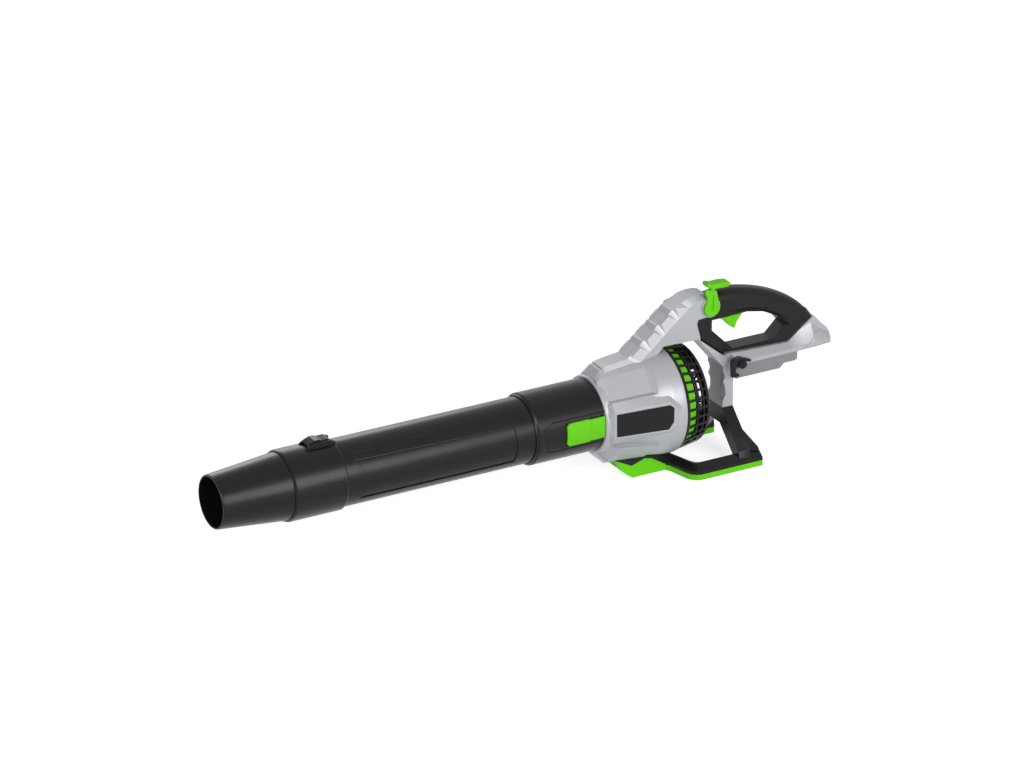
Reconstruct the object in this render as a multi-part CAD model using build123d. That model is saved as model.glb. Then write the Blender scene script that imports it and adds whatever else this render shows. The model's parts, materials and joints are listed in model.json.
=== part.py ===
from build123d import *
from math import sin, cos, radians, degrees, pi, atan
import os

# Cordless axial leaf blower, in millimetres.
# While a piece is made, x is the distance from the nozzle's tip and z is measured from the air axis.
# save() then puts the origin under the middle of the whole blower, on the surface its foot stands on.
# The nozzle points along -X, the operator's left is -Y, and +Z is up.

# ---------------------------------------------------------------- driving dimensions
AXIS_HEIGHT = 102.5          # air axis above the surface that the foot stands on
OVERALL_LENGTH = 950.0       # nozzle tip to the end of the tail

# air path
TIP_R = 37.1                 # nozzle's outer radius at its mouth
CONE_LENGTH = 101.0
CONE_END_R = 46.6
COLLAR_END = 180.0           # rear end of the nozzle's sleeve
COLLAR_R = 49.3
NOZZLE_WALL = 2.3
TUBE_R = 46.3                # front tube, outside
TUBE_WALL = 2.2
COUPLING_START = 466.0       # front edge of the wider rear tube
COUPLING_R = 50.3
COUPLING_END = 571.5         # its shoulder against the casing
SPIGOT_R = 46.0              # rear tube's end inside the casing
SPIGOT_LENGTH = 32.0
DUCT_R = 57.0                # bore in which the fan runs
DUCT_WALL = 2.0
SLEEVE_GAP = 0.3             # between a sleeve and the tube inside it

# casing
RIM_R = 77.0                 # widest circle of the casing
RIM_END = 686.0
CASING_WALL = 2.8
SHELL_GAP = 0.3              # between the casing and what it encloses
PLATE_THICKNESS = 1.6

# fan, stator and motor
FAN_BLADES = 9
FAN_FRONT = 655.0
FAN_DEPTH = 24.0
TIP_CLEARANCE = 0.7
HUB_R = 26.0
STATOR_VANES = 7
STATOR_FRONT = 613.0
STATOR_REAR = 650.0
MOTOR_R = 21.0
MOTOR_LENGTH = 36.0
SHAFT_R = 4.0
BEARING_R = 9.5
BEARING_WIDTH = 6.0
RUNNING_GAP = 0.05           # radial clearance of a shaft or pin in its bore

# inlet guard
GUARD_FRONT = RIM_END + 0.3
GUARD_REAR = 725.0
GUARD_RIM_R = RIM_R - 0.6
GUARD_REAR_R = 70.5
GUARD_RIBS = 36
RIB_THICKNESS = 3.2
RIB_DEPTH = 3.0
RIB_SINK = 0.3                # the ribs stay this much inside the guard's rims

# handle
SIDE_HALF = 20.0             # half width of the arm and the ridge
RIDGE_FLAT = 13.0            # half width of the ridge's flat top
LOOP_HALF = 17.0             # half width of the handle loop
GRIP_WIDTH = 34.0
GRIP_WALL = 3.0
BAY_HALF = 30.0              # half width of the battery bay's roof
TRIGGER_WIDTH = 16.0
TRIGGER_PIVOT = (770.0, 111.5)
LEVER_PIVOT = (754.0, 126.0)
LEVER_DISC_R = 12.2
LEVER_RING = 1.3              # width of the silver ring round the disc
LEVER_RING_RISE = 1.0         # and how far it stands out of the arm

# foot
FOOT_HALF = 71.0             # half width over the side rails
PAD_HEIGHT = 8.0             # green layer under the rails

FIT = 0.3                    # clearance between neighbouring moulded pieces that don't touch

AXIS = Axis((0, 0, 0), (1, 0, 0))
PARTS = {}


def save(name, shape):
    """Keeps a piece for export, in the part's own frame."""
    PARTS[name] = shape.moved(Location((-OVERALL_LENGTH / 2, 0, AXIS_HEIGHT)))


def polygon(points, y=0.0):
    """Face through points (x, z) in the plane at this y."""
    return make_face(Polyline(*[(x, y, z) for x, z in points], close=True))


def slab(points, y0, y1):
    """Side outline (x, z) extruded from y0 to y1."""
    return extrude(polygon(points, y0), amount=y1 - y0, dir=(0, 1, 0))


def turned(points):
    """Outline (x, r) revolved about the air axis."""
    return revolve(polygon(points), AXIS, 360)


def tube(x0, x1, outer, inner):
    return turned([(x0, inner), (x1, inner), (x1, outer), (x0, outer)])


def rod(x0, x1, radius):
    return turned([(x0, 0), (x1, 0), (x1, radius), (x0, radius)])


def block(x0, x1, y0, y1, z0, z1):
    size = (x1 - x0, y1 - y0, z1 - z0)
    return Box(*size).moved(Location(((x0 + x1) / 2, (y0 + y1) / 2, (z0 + z1) / 2)))


def cross_pin(x, z, y0, y1, radius):
    """Cylinder along Y."""
    pin = Cylinder(radius, y1 - y0).rotate(Axis.X, 90)
    return pin.moved(Location((x, (y0 + y1) / 2, z)))


def inset(points, distance):
    """Closed outline moved inward by distance, or outward where it is negative."""
    area = sum(x0 * z1 - x1 * z0 for (x0, z0), (x1, z1) in zip(points, points[1:] + points[:1]))
    turn = 1 if area > 0 else -1
    moved = []
    for (ax, az), (bx, bz), (cx, cz) in zip(points[-1:] + points[:-1], points, points[1:] + points[:1]):
        u, v = Vector(bx - ax, bz - az).normalized(), Vector(cx - bx, cz - bz).normalized()
        nu, nv = Vector(-u.Y, u.X) * turn, Vector(-v.Y, v.X) * turn
        both = (nu + nv) * (distance / (1 + nu.dot(nv)))
        moved.append((bx + both.X, bz + both.Y))
    return moved


def bevelled(points, half, cut):
    """Side outline (x, z), as wide as half each side of the middle plane, with bevelled edges."""
    edge = ruled([polygon(points, -half + cut), polygon(inset(points, cut), -half)])
    return slab(points, -half + cut, half - cut) + both_sides(edge)


def bevelled_hole(points, half, cut):
    """Cutter for a hole through a bevelled piece, itself bevelled outward."""
    edge = ruled([polygon(points, -half + cut), polygon(inset(points, -cut - 1), -half - 1)])
    return slab(points, -half + cut, half - cut) + both_sides(edge)


def bevelled_bar(points, y0, y1, cut):
    """Side outline carried from y0 to y1, with its edges cut off at both ends."""
    small = inset(points, cut)
    return (ruled([polygon(small, y0), polygon(points, y0 + cut)]) + slab(points, y0 + cut, y1 - cut)
            + ruled([polygon(points, y1 - cut), polygon(small, y1)]))


def mirrored(shape):
    return mirror(shape, Plane.XZ)


def both_sides(shape):
    return shape + mirrored(shape)


def both_sides_z(shape):
    return shape + mirror(shape, Plane.XY)


def around(shape, count, start=0.0):
    """Copies of a shape, evenly spaced about the air axis."""
    return [shape.rotate(AXIS, start + 360.0 * i / count) for i in range(count)]


def ruled(sections):
    return loft(sections, ruled=True)


def cross_section(x, points):
    """Face through points (y, z) in the plane at this x."""
    return make_face(Polyline(*[(x, y, z) for y, z in points], close=True))


def left_half(shape):
    return split(shape, Plane.XZ, keep=Keep.TOP)


def right_half(shape):
    return split(shape, Plane.XZ, keep=Keep.BOTTOM)


# ---------------------------------------------------------------- nozzle
COLLAR_BORE_R = TUBE_R + SLEEVE_GAP
MOUTH_BORE_R = TIP_R - NOZZLE_WALL
MOUTH_LAND = 6.0             # short cylindrical land inside the mouth
TUBE_FRONT = CONE_LENGTH + 8.0
LATCH_FRONT, LATCH_REAR = COLLAR_END - 39.0, COLLAR_END - 6.0
LATCH_HALF = 8.5
LATCH_PIVOT = ((LATCH_FRONT + LATCH_REAR) / 2 + 1.0, COLLAR_R + 4.0)
LATCH_PIN_R = 1.5
KEYWAY_HALF = 4.5
KEYWAY_DEPTH = 1.2


def make_nozzle():
    shell = turned([
        (0, MOUTH_BORE_R), (MOUTH_LAND, MOUTH_BORE_R), (CONE_LENGTH + 4, TUBE_R - TUBE_WALL),
        (TUBE_FRONT - 1, TUBE_R - TUBE_WALL), (TUBE_FRONT - 1, COLLAR_BORE_R),
        (COLLAR_END, COLLAR_BORE_R), (COLLAR_END, COLLAR_R - 1), (COLLAR_END - 1.5, COLLAR_R),
        (CONE_LENGTH + 3, COLLAR_R), (CONE_LENGTH, COLLAR_R - 1), (CONE_LENGTH, CONE_END_R),
        (4, TIP_R + 0.4), (1, TIP_R), (0, TIP_R - 0.8)])
    x0, x1 = LATCH_FRONT - 4, COLLAR_END
    cheek = slab([(x0, COLLAR_R - 2), (x1, COLLAR_R - 2), (x1, COLLAR_R + 3), (x1 - 8, COLLAR_R + 6),
                  (x0 + 10, COLLAR_R + 6), (x0, COLLAR_R + 1)], LATCH_HALF + FIT, LATCH_HALF + FIT + 2.5)
    shell += both_sides(cheek - turned([(x0 - 9, 0), (x1 + 9, 0), (x1 + 9, COLLAR_BORE_R + 1),
                                        (x0 - 9, COLLAR_BORE_R + 1)]))
    shell -= block(LATCH_FRONT - FIT, LATCH_REAR - 12, -KEYWAY_HALF - FIT, KEYWAY_HALF + FIT, 40, 60)
    shell -= block(LATCH_REAR - 13, COLLAR_END + 1, -LATCH_HALF - FIT, LATCH_HALF + FIT,
                   COLLAR_R - 1.4, COLLAR_R + 2)
    half = LATCH_HALF + FIT + 3
    shell -= cross_pin(*LATCH_PIVOT, -half, half, LATCH_PIN_R)
    save("nozzle", shell)

    x0, x1 = LATCH_FRONT, LATCH_REAR
    base, top = COLLAR_R + 0.8, COLLAR_R + 9.0
    pad = slab([(x0, base + 1), (x0 + 2, base), (LATCH_PIVOT[0] + 5, base), (x1, base + 1.6),
                (x1, top - 3.5), (x1 - 4, top - 1.5), (x1 - 15, top - 1.5), (x1 - 17, top),
                (x0 + 9, top), (x0 + 3, top - 3), (x0, top - 6)], -LATCH_HALF, LATCH_HALF)
    for i in range(5):
        x = x1 - 13 + 2.4 * i
        pad -= block(x, x + 1.1, -LATCH_HALF - 1, LATCH_HALF + 1, top - 2.1, top)
    tooth_foot = TUBE_R - KEYWAY_DEPTH + FIT
    pad += block(x0 + 1, x0 + 7, -KEYWAY_HALF, KEYWAY_HALF, tooth_foot + 0.1, base + 2)
    pad -= cross_pin(*LATCH_PIVOT, -LATCH_HALF - 1, LATCH_HALF + 1, LATCH_PIN_R + RUNNING_GAP)
    save("nozzle_latch", pad)
    save("nozzle_latch_pin", cross_pin(*LATCH_PIVOT, -half, half, LATCH_PIN_R))


# ---------------------------------------------------------------- tube
PANEL_DEPTH = 1.2
TUBE_PANEL_OUT = [(225.0, 6.0), (440.0, 5.5), (440.0, -18.0), (225.0, -18.0)]     # outline well outside the tube
TUBE_PANEL_IN = [(184.0, 39.6), (434.0, 38.2), (434.0, -30.0), (184.0, -30.0)]    # and inside it
LATCH_PANEL_DEPTH = 1.0
LATCH_PANEL = [(484.0, 16.5), (503.0, 31.5), (COUPLING_END + 2, 33.5)]            # upper half of the outline
TUBE_JOINT_END = COUPLING_START + 46.0   # front tube's end inside the rear tube
TUBE_LATCH_FRONT, TUBE_LATCH_REAR = 512.0, COUPLING_END - 0.6
TUBE_LATCH_HALF = 16.5
TUBE_LATCH_PIVOT = 545.0
TUBE_LATCH_PIN_R = 0.9
TUBE_LATCH_KNUCKLE_R = 1.5
LATCH_POCKET = 4.8                       # depth of the recess behind the latch


def panel_cut(outer, inner, y_inner, floor):
    """Cutter for a panel sunk in the left side of a tube, down to the floor's radius, with slanted walls."""
    start, end = min(x for x, _ in outer + inner), max(x for x, _ in outer + inner)
    return ruled([polygon(outer, -60.0), polygon(inner, y_inner)]) - rod(start - 1, end + 1, floor)


def make_tubes():
    bore = TUBE_R - TUBE_WALL
    front = tube(TUBE_FRONT, TUBE_JOINT_END, TUBE_R, bore)
    panel = panel_cut(TUBE_PANEL_OUT, TUBE_PANEL_IN, -25.0, TUBE_R - PANEL_DEPTH)
    front -= both_sides(panel)
    front -= block(TUBE_FRONT - 1, LATCH_FRONT + 9, -KEYWAY_HALF - FIT, KEYWAY_HALF + FIT,
                   TUBE_R - KEYWAY_DEPTH, TUBE_R + 2)
    save("front_tube", front)

    seat = TUBE_R + RUNNING_GAP
    spigot_end = COUPLING_END + SPIGOT_LENGTH
    rear = turned([
        (COUPLING_START, seat), (TUBE_JOINT_END, seat), (TUBE_JOINT_END, bore),
        (spigot_end, bore), (spigot_end, SPIGOT_R - 1), (spigot_end - 1.5, SPIGOT_R),
        (COUPLING_END, SPIGOT_R), (COUPLING_END, COUPLING_R), (COUPLING_START + 4.2, COUPLING_R),
        (COUPLING_START + 1.6, COUPLING_R - 2.2), (COUPLING_START, COUPLING_R - 2.4)])
    recess = LATCH_PANEL + [(x, -z) for x, z in LATCH_PANEL[::-1]]
    wider = [(x - 26 if x < COUPLING_END else x, z) for x, z in recess]
    rear -= both_sides(panel_cut(wider, recess, -45.0, COUPLING_R - LATCH_PANEL_DEPTH))
    half = TUBE_LATCH_HALF + FIT
    floor = COUPLING_R - LATCH_POCKET
    x0, x1, xp = TUBE_LATCH_FRONT, TUBE_LATCH_REAR, TUBE_LATCH_PIVOT
    rear -= block(x0 - FIT, COUPLING_END + 1, -60, -30, -half, half) - rod(x0 - 2, COUPLING_END + 2, floor)
    pin_y = -floor - TUBE_LATCH_KNUCKLE_R - 0.35
    skin_in, skin_out = COUPLING_R - 0.9, COUPLING_R + 1.7
    for z in (-1, 1):
        ear = block(xp - 2, xp + 2, pin_y - 1.6, -floor + 1, z * 4.6 - 1.5, z * 4.6 + 1.5)
        rear += ear & rod(xp - 3, xp + 3, skin_in - FIT)
    pin = Cylinder(TUBE_LATCH_PIN_R, 12.2).moved(Location((xp, pin_y, 0)))
    rear -= pin
    save("rear_tube", rear)
    save("tube_latch_pin", pin)

    skin = tube(x0, x1, skin_out, skin_in) - turned([
        (xp + 1, skin_out + 1), (xp + 4, skin_out - 0.7), (x1 + 1, skin_out - 0.7), (x1 + 1, skin_out + 1)])
    latch = skin & block(x0, x1, -60, -30, -TUBE_LATCH_HALF, TUBE_LATCH_HALF)
    corner = TUBE_LATCH_HALF - 4
    latch -= both_sides_z(extrude(make_face(Polyline(
        (x0 - 1, -60, corner), (x0, -60, corner), (x0 + 4, -60, TUBE_LATCH_HALF),
        (x0 + 4, -60, TUBE_LATCH_HALF + 2),
        (x0 - 1, -60, TUBE_LATCH_HALF + 2), close=True)), amount=30, dir=(0, 1, 0)))
    trim = TUBE_LATCH_HALF - 1.0
    latch -= both_sides_z(block(xp + 2, x1 + 1, -60, -30, trim, TUBE_LATCH_HALF + 1))
    knuckle = Cylinder(TUBE_LATCH_KNUCKLE_R, 5.4).moved(Location((xp, pin_y, 0)))
    knuckle += block(xp - 1.4, xp + 1.4, -skin_in - 0.5, pin_y, -2.7, 2.7)
    latch += knuckle
    latch -= Cylinder(TUBE_LATCH_PIN_R + RUNNING_GAP, 20).moved(Location((xp, pin_y, 0)))
    save("tube_latch", latch)


# ---------------------------------------------------------------- fan duct, stator, motor
DUCT_OUTER = DUCT_R + DUCT_WALL
SOCKET_R = SPIGOT_R + SLEEVE_GAP
SOCKET_END = COUPLING_END + SPIGOT_LENGTH + 1.0
BELL_START = RIM_END - 4.0
BELL_END = RIM_END + 16.0
BELL_R = 67.3
BELL_LIP = 1.9
FAN_REAR = FAN_FRONT + FAN_DEPTH


def blade(x_mid, r0, r1, chord, angle0, angle1, thickness, camber):
    """One twisted blade along +Z: cambered sections at three radii, joined by a loft."""
    sections = []
    for i in range(3):
        r = r0 + (r1 - r0) * i / 2
        a = radians(angle0 + (angle1 - angle0) * i / 2)
        points = []
        for side in (1, -1):
            for u in (-0.5, -0.2, 0.2, 0.5)[::side]:
                v = camber * (1 - 4 * u * u) + side * thickness * (0.5 - 0.8 * u * u)
                points.append((x_mid + u * chord * cos(a) - v * sin(a),
                               u * chord * sin(a) + v * cos(a), r))
        sections.append(make_face(Polyline(*points, close=True)))
    return ruled(sections)


def rib_radius(x):
    """Outer radius of the guard's ribs, which close in a little to the rear."""
    return GUARD_RIM_R + (GUARD_REAR_R - GUARD_RIM_R) * (x - GUARD_FRONT) / (GUARD_REAR - GUARD_FRONT)


def make_air_path():
    duct = turned([
        (COUPLING_END + 2, SOCKET_R), (SOCKET_END, SOCKET_R), (SOCKET_END, TUBE_R - TUBE_WALL),
        (STATOR_FRONT + 14, DUCT_R), (BELL_START, DUCT_R)]
        + [(BELL_START + (BELL_END - BELL_START) * sin(t), DUCT_R + (BELL_R - DUCT_R) * (1 - cos(t)))
           for t in [pi / 2 * i / 6 for i in range(1, 7)]]
        + [(BELL_END, BELL_R + BELL_LIP), (BELL_END - 5, BELL_R + BELL_LIP), (BELL_END - 10, BELL_R - 4),
           (BELL_START, DUCT_OUTER + 0.5), (STATOR_FRONT + 13, DUCT_OUTER),
           (SOCKET_END - 2, SOCKET_R + DUCT_WALL), (COUPLING_END + 2, SOCKET_R + DUCT_WALL)])
    save("fan_duct", duct)
    band_r = BELL_R + BELL_LIP + RUNNING_GAP
    band_start = RIM_END + 1
    band = turned([(band_start, band_r), (BELL_END, band_r),
                   (BELL_END, rib_radius(BELL_END) - RIB_DEPTH - FIT),
                   (band_start, rib_radius(band_start) - RIB_DEPTH - FIT)])
    save("inlet_band", band)

    hub = tube(STATOR_FRONT, STATOR_REAR, HUB_R, MOTOR_R + RUNNING_GAP)
    hub += tube(STATOR_FRONT, STATOR_FRONT + 2.5, HUB_R, 10)
    vane = blade((STATOR_FRONT + STATOR_REAR) / 2 + 4, HUB_R - 1.5, DUCT_R + 3, 30, 12, 8, 2.0, 1.6)
    hub += around(vane, STATOR_VANES, 12)
    outer = tube(STATOR_FRONT + 15, STATOR_REAR, DUCT_R - RUNNING_GAP, DUCT_R - 1.8)
    swept = turned([(STATOR_FRONT, 0), (STATOR_FRONT, TUBE_R - TUBE_WALL), (STATOR_FRONT + 15, DUCT_R - 1),
                    (STATOR_REAR, DUCT_R - 1), (STATOR_REAR, 0)])
    stator = (hub & swept) + outer
    save("stator", stator)

    steps = 7
    profile = [(STATOR_FRONT - 0.1, 0)] + [(STATOR_FRONT - 0.1 - 44 * sin(t), HUB_R * cos(t))
                                           for t in [pi / 2 * i / steps for i in range(steps + 1)]]
    shell = turned(profile)
    save("tail_cone", shell - turned([(x + 2 if x < STATOR_FRONT - 1 else x + 1, max(r - 2, 0))
                                      for x, r in profile if r > 3 or x > STATOR_FRONT - 1]
                                     + [(STATOR_FRONT - 38, 0)]))

    x0 = STATOR_FRONT + 2.5 + RUNNING_GAP
    x1 = x0 + MOTOR_LENGTH
    case = rod(x0, x1, MOTOR_R)
    case -= rod(x0 + 2, x0 + 2 + BEARING_WIDTH, BEARING_R)
    case -= rod(x1 - BEARING_WIDTH, x1 + 1, BEARING_R)
    case -= rod(x0 - 1, x1 + 1, SHAFT_R + 2.5)
    for slot in around(block(x0 + 12, x1 - 10, -2, 2, MOTOR_R - 3, MOTOR_R + 1), 8):
        case -= slot
    save("motor_case", case)
    race = tube(0, BEARING_WIDTH, BEARING_R - RUNNING_GAP, SHAFT_R + RUNNING_GAP)
    race -= tube(-1, 0.8, BEARING_R - 1.6, SHAFT_R + 1.6)
    race -= tube(BEARING_WIDTH - 0.8, BEARING_WIDTH + 1, BEARING_R - 1.6, SHAFT_R + 1.6)
    save("motor_bearing_front", race.moved(Location((x0 + 2, 0, 0))))
    save("motor_bearing_rear", race.moved(Location((x1 - BEARING_WIDTH, 0, 0))))

    collar = tube(x1 + 0.4, x1 + 2.0, SHAFT_R + 2, SHAFT_R - 0.5)
    shaft = rod(x0 + 1, FAN_REAR + 6, SHAFT_R) + collar
    save("motor_shaft", shaft)

    fan = tube(FAN_FRONT + 1, FAN_REAR, HUB_R, HUB_R - 2.4)
    fan += tube(FAN_REAR - 3, FAN_REAR, HUB_R, SHAFT_R + 3)
    fan += tube(FAN_FRONT + 4, FAN_REAR, SHAFT_R + 4, SHAFT_R)
    wing = blade((FAN_FRONT + FAN_REAR) / 2 + 1, HUB_R - 1.5, DUCT_R + 2, 30, -38, -58, 2.4, -2.6)
    fan += around(wing - rod(FAN_FRONT - 5, FAN_REAR + 5, HUB_R - 1), FAN_BLADES)
    save("fan", fan & rod(FAN_FRONT + 0.5, FAN_REAR, DUCT_R - TIP_CLEARANCE))
    nose = [(FAN_REAR + 12 * sin(t), 18 * cos(t)) for t in [pi / 2 * i / 5 for i in range(6)]]
    spinner = turned([(FAN_REAR, 0)] + nose) - rod(FAN_REAR - 1, FAN_REAR + 6, SHAFT_R)
    save("fan_nut", spinner)


# ---------------------------------------------------------------- inlet guard
def make_guard():
    front, seat_r = GUARD_FRONT, GUARD_RIM_R
    guard = turned([(front, seat_r - RIB_DEPTH), (front, seat_r), (front + 4, rib_radius(front + 4)),
                    (front + 4, rib_radius(front + 4) - RIB_DEPTH)])
    for x in (BELL_END + 1, BELL_END + 11.5):
        r = rib_radius(x)
        guard += tube(x, x + 2.2, r - 0.5, r - RIB_DEPTH - 1.5)
    r = GUARD_REAR_R
    guard += turned([(GUARD_REAR - 5, r - RIB_DEPTH - 4), (GUARD_REAR, r - RIB_DEPTH - 6),
                     (GUARD_REAR, r - 1.5), (GUARD_REAR - 1.5, r), (GUARD_REAR - 5, r + 0.4)])
    rib = slab([(front + 1, seat_r - RIB_SINK), (GUARD_REAR - 1, r - RIB_SINK), (GUARD_REAR - 1, r - RIB_DEPTH),
                (front + 1, seat_r - RIB_DEPTH + RIB_SINK)], -RIB_THICKNESS / 2, RIB_THICKNESS / 2)
    guard += around(rib, GUARD_RIBS, 5)
    rear_in = r - RIB_DEPTH - 6
    for radius in (16.0, 29.0, 42.0):
        guard += tube(GUARD_REAR - 4, GUARD_REAR - 1, radius + 1.4, radius - 1.4)
    guard += rod(GUARD_REAR - 4, GUARD_REAR - 0.5, 10)
    fin = block(GUARD_REAR - 4, GUARD_REAR - 1, -1.1, 1.1, 9, rear_in + 1)
    guard += around(fin, GUARD_RIBS // 2, 5)
    save("inlet_guard", guard)


# ---------------------------------------------------------------- casing
# Side outlines (x, z) of the arm that rises from the fan housing to the handle.
RIDGE_START = (COUPLING_END + 16.0, 69.0)
RIDGE_TOP = [RIDGE_START, (599.5, 71.4), (627.8, 74.7)]
TOOTH_FIRST = (645.2, 88.4)
TOOTH_STEP = (22.3, 18.0)
TOOTH_CREST = [(0.0, 0.0), (5.0, 6.2), (8.4, 7.2)]
TEETH = 3
ARM_TOP = [(719.7, 143.0), (731.0, 145.0), (743.0, 144.8), (752.0, 142.5)]
STRIP_LOW = [(590.0, 60.0), (602.0, 61.0), (640.0, 66.0)]      # side edge of the ridge, ahead of the teeth
STRIP_LINE = ((643.2, 68.4), (709.7, 123.6))                   # and beside them, through two points
STRIP_TOP = [(724.0, 134.5), (732.0, 138.5), (743.0, 139.5), (750.5, 137.5)]
ARM_END = [(757.0, 137.0), (757.0, 113.0), (735.0, 111.0), (733.0, 105.0), (738.5, 84.0)]
ARM_UNDER = 83.5             # clear of the guard
NECK = (735.0, 82.0)
BRACKET_FRONT, BRACKET_REAR = 775.5, 792.0
BRACKET_BOTTOM = -28.0
BAND_TOP = 46.0              # silver band's upper edge under the black bar
BAND_LOW = 35.0              # lower edge, at the battery bay's full width
TAIL_END = OVERALL_LENGTH


def foot_of(point, line):
    """Nearest point to this one on a line through two points."""
    (ax, az), (bx, bz) = line
    along = Vector(bx - ax, bz - az).normalized()
    reach = Vector(point[0] - ax, point[1] - az).dot(along)
    return (ax + along.X * reach, az + along.Y * reach)


def ridge_outlines():
    """Closed side outlines of the ridge and arm: at the edge of the flat top, and at the full width."""
    teeth = [(TOOTH_FIRST[0] + i * TOOTH_STEP[0] + x, TOOTH_FIRST[1] + i * TOOTH_STEP[1] + z)
             for i in range(TEETH) for x, z in TOOTH_CREST]
    rest = ARM_END + [NECK, (RIM_END - 6, ARM_UNDER), (650.0, 50.0), (600.0, 40.0), (RIDGE_START[0], 44.0)]
    flat = RIDGE_TOP + teeth + ARM_TOP + rest
    wide = STRIP_LOW + [foot_of(point, STRIP_LINE) for point in teeth] + STRIP_TOP + rest
    return flat, wide


def make_ridge():
    flat, wide = ridge_outlines()
    return slab(flat, -RIDGE_FLAT, RIDGE_FLAT) + both_sides(ruled([polygon(wide, -SIDE_HALF),
                                                                   polygon(flat, -RIDGE_FLAT)]))


PANEL_LEAN = radians(43.9)      # the shoulder panel faces up and to the side by this much
PANEL_START, PANEL_END = 576.0, 641.0
PANEL_WALL_RUN = 7.0            # length over which the panel's rear wall rises


def panel_level(x):
    """Distance of the shoulder panel from the air axis."""
    return 56.6 + (x - 585.0) * 0.135


def panel_point(level, along):
    """(y, z) at this distance from the axis, and this far along the panel towards the ridge."""
    return (-level * cos(PANEL_LEAN) + along * sin(PANEL_LEAN),
            level * sin(PANEL_LEAN) + along * cos(PANEL_LEAN))


def panel_space(depth):
    """Everything outside the left shoulder panel, lowered by depth."""
    def section(x, level):
        return cross_section(x, [panel_point(level, -16), panel_point(level, 42),
                                 panel_point(level + 30, 42), panel_point(level + 30, -16)])
    end = PANEL_END + depth
    return ruled([section(PANEL_START - 2, panel_level(PANEL_START - 2) - depth),
                  section(end, panel_level(end) - depth),
                  section(end + PANEL_WALL_RUN, panel_level(end) + 9 - depth)])


def make_shoulder():
    """Left shoulder: the panel's floor, its ramp at the front, and the slope up to the ridge."""
    def section(x, level, top):
        low, high = panel_point(level, -15), panel_point(level, 26)
        return cross_section(x, [(0, 20), low, high, (-RIDGE_FLAT + 1, top), (0, top)])
    return ruled([section(PANEL_START - 1, 51.0, 55.0), section(583, panel_level(583), 67.0),
                  section(600, panel_level(600), 69.0), section(628, panel_level(628), 71.5),
                  section(PANEL_END + 4, panel_level(PANEL_END + 4), 73.0)])


POD_SLOPE = 0.199               # the pod's face leans outward by this much a millimetre


def pod_face(x):
    """y of the left pod's face."""
    return -61.0 - (x - 588.0) * POD_SLOPE


def make_fan_housing():
    """Outer form around the fan: smooth bell, shoulder panels, side pods, flanks and keel."""
    bell = turned([(COUPLING_END, 0), (COUPLING_END, 53.0), (COUPLING_END + 2, 54.2), (590, 57.0),
                   (612, 62.0), (634, 68.6), (652, 73.6), (668, 76.2), (RIM_END - 5, RIM_R),
                   (RIM_END - 1, RIM_R), (RIM_END, RIM_R - 1), (RIM_END, 0)])
    pod = ruled([
        cross_section(574, [(0, -16), (-48, -16), (-50.5, -10), (-50.5, 16), (-45, 26), (0, 30)]),
        cross_section(581, [(0, -30), (-52, -27), (pod_face(581), -15.5), (pod_face(581), 22.5), (-51, 33),
                            (0, 40)]),
        cross_section(660, [(0, -34), (-64, -29.5), (pod_face(660), -15.5), (pod_face(660), 27),
                            (-62, 37.5), (0, 44)]),
        cross_section(667, [(0, -34), (-66, -28), (pod_face(667), -9), (pod_face(667), 19), (-66, 35),
                            (0, 44)]),
        cross_section(683, [(0, -30), (-66, -27), (-74.5, -12), (-74.5, 14), (-66, 31), (0, 40)])])
    keel = ruled([
        cross_section(COUPLING_END, [(-13, 0), (-13, -50), (13, -50), (13, 0)]),
        cross_section(588, [(-18, 0), (-18, KEEL_Z + 1), (18, KEEL_Z + 1), (18, 0)]),
        cross_section(650, [(-18, 0), (-18, KEEL_Z + 0.05), (18, KEEL_Z + 0.05), (18, 0)]),
        cross_section(668, [(-14, 0), (-14, KEEL_Z), (14, KEEL_Z), (14, 0)])])
    flank = ruled([
        cross_section(577, [(0, -48), (-20, -50), (-40, -34), (0, -20)]),
        cross_section(592, [(0, -66), (-24, -66), (-54, -35), (0, -20)]),
        cross_section(646, [(0, -68), (-28, -69), (-64, -38), (0, -20)]),
        cross_section(660, [(0, -66), (-26, -66), (-60, -36), (0, -20)])])
    body = bell - both_sides(panel_space(1.0))
    return body + both_sides(make_shoulder()) + both_sides(pod) + keel + both_sides(flank)


def make_bracket():
    """Strut behind the guard: a slanted plate under the handle, then a pillar down to the foot."""
    strut = slab([NECK, (738.5, 84.0), (738.5, 80.0), (777.0, 48.5), (783.0, 51.0), (BRACKET_REAR + 6, 50.0),
                  (BRACKET_REAR + 6, BAND_LOW), (BRACKET_REAR, BAND_LOW), (BRACKET_REAR, BRACKET_BOTTOM),
                  (BRACKET_FRONT, BRACKET_BOTTOM), (BRACKET_FRONT, 33.0)], -SIDE_HALF, SIDE_HALF)
    front = BRACKET_FRONT
    wave = [(front - 1, 27.0), (front + 1, 26.0), (front + 3.5, 16.6), (front + 0.6, 10.0),
            (front + 3.8, 2.8),
            (front + 5, -9.9), (front + 0.6, -17.6), (front - 1, -18.5)]
    fade = [(front - 1, z) for _, z in wave]
    bite = ruled([polygon([(x, z) for x, z in wave] + [(front - 3, -18.5), (front - 3, 27.0)],
                          -SIDE_HALF - 0.5),
                  polygon(fade + [(front - 3, -18.5), (front - 3, 27.0)], -SIDE_HALF + 9)])
    return strut - both_sides(bite)


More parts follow.
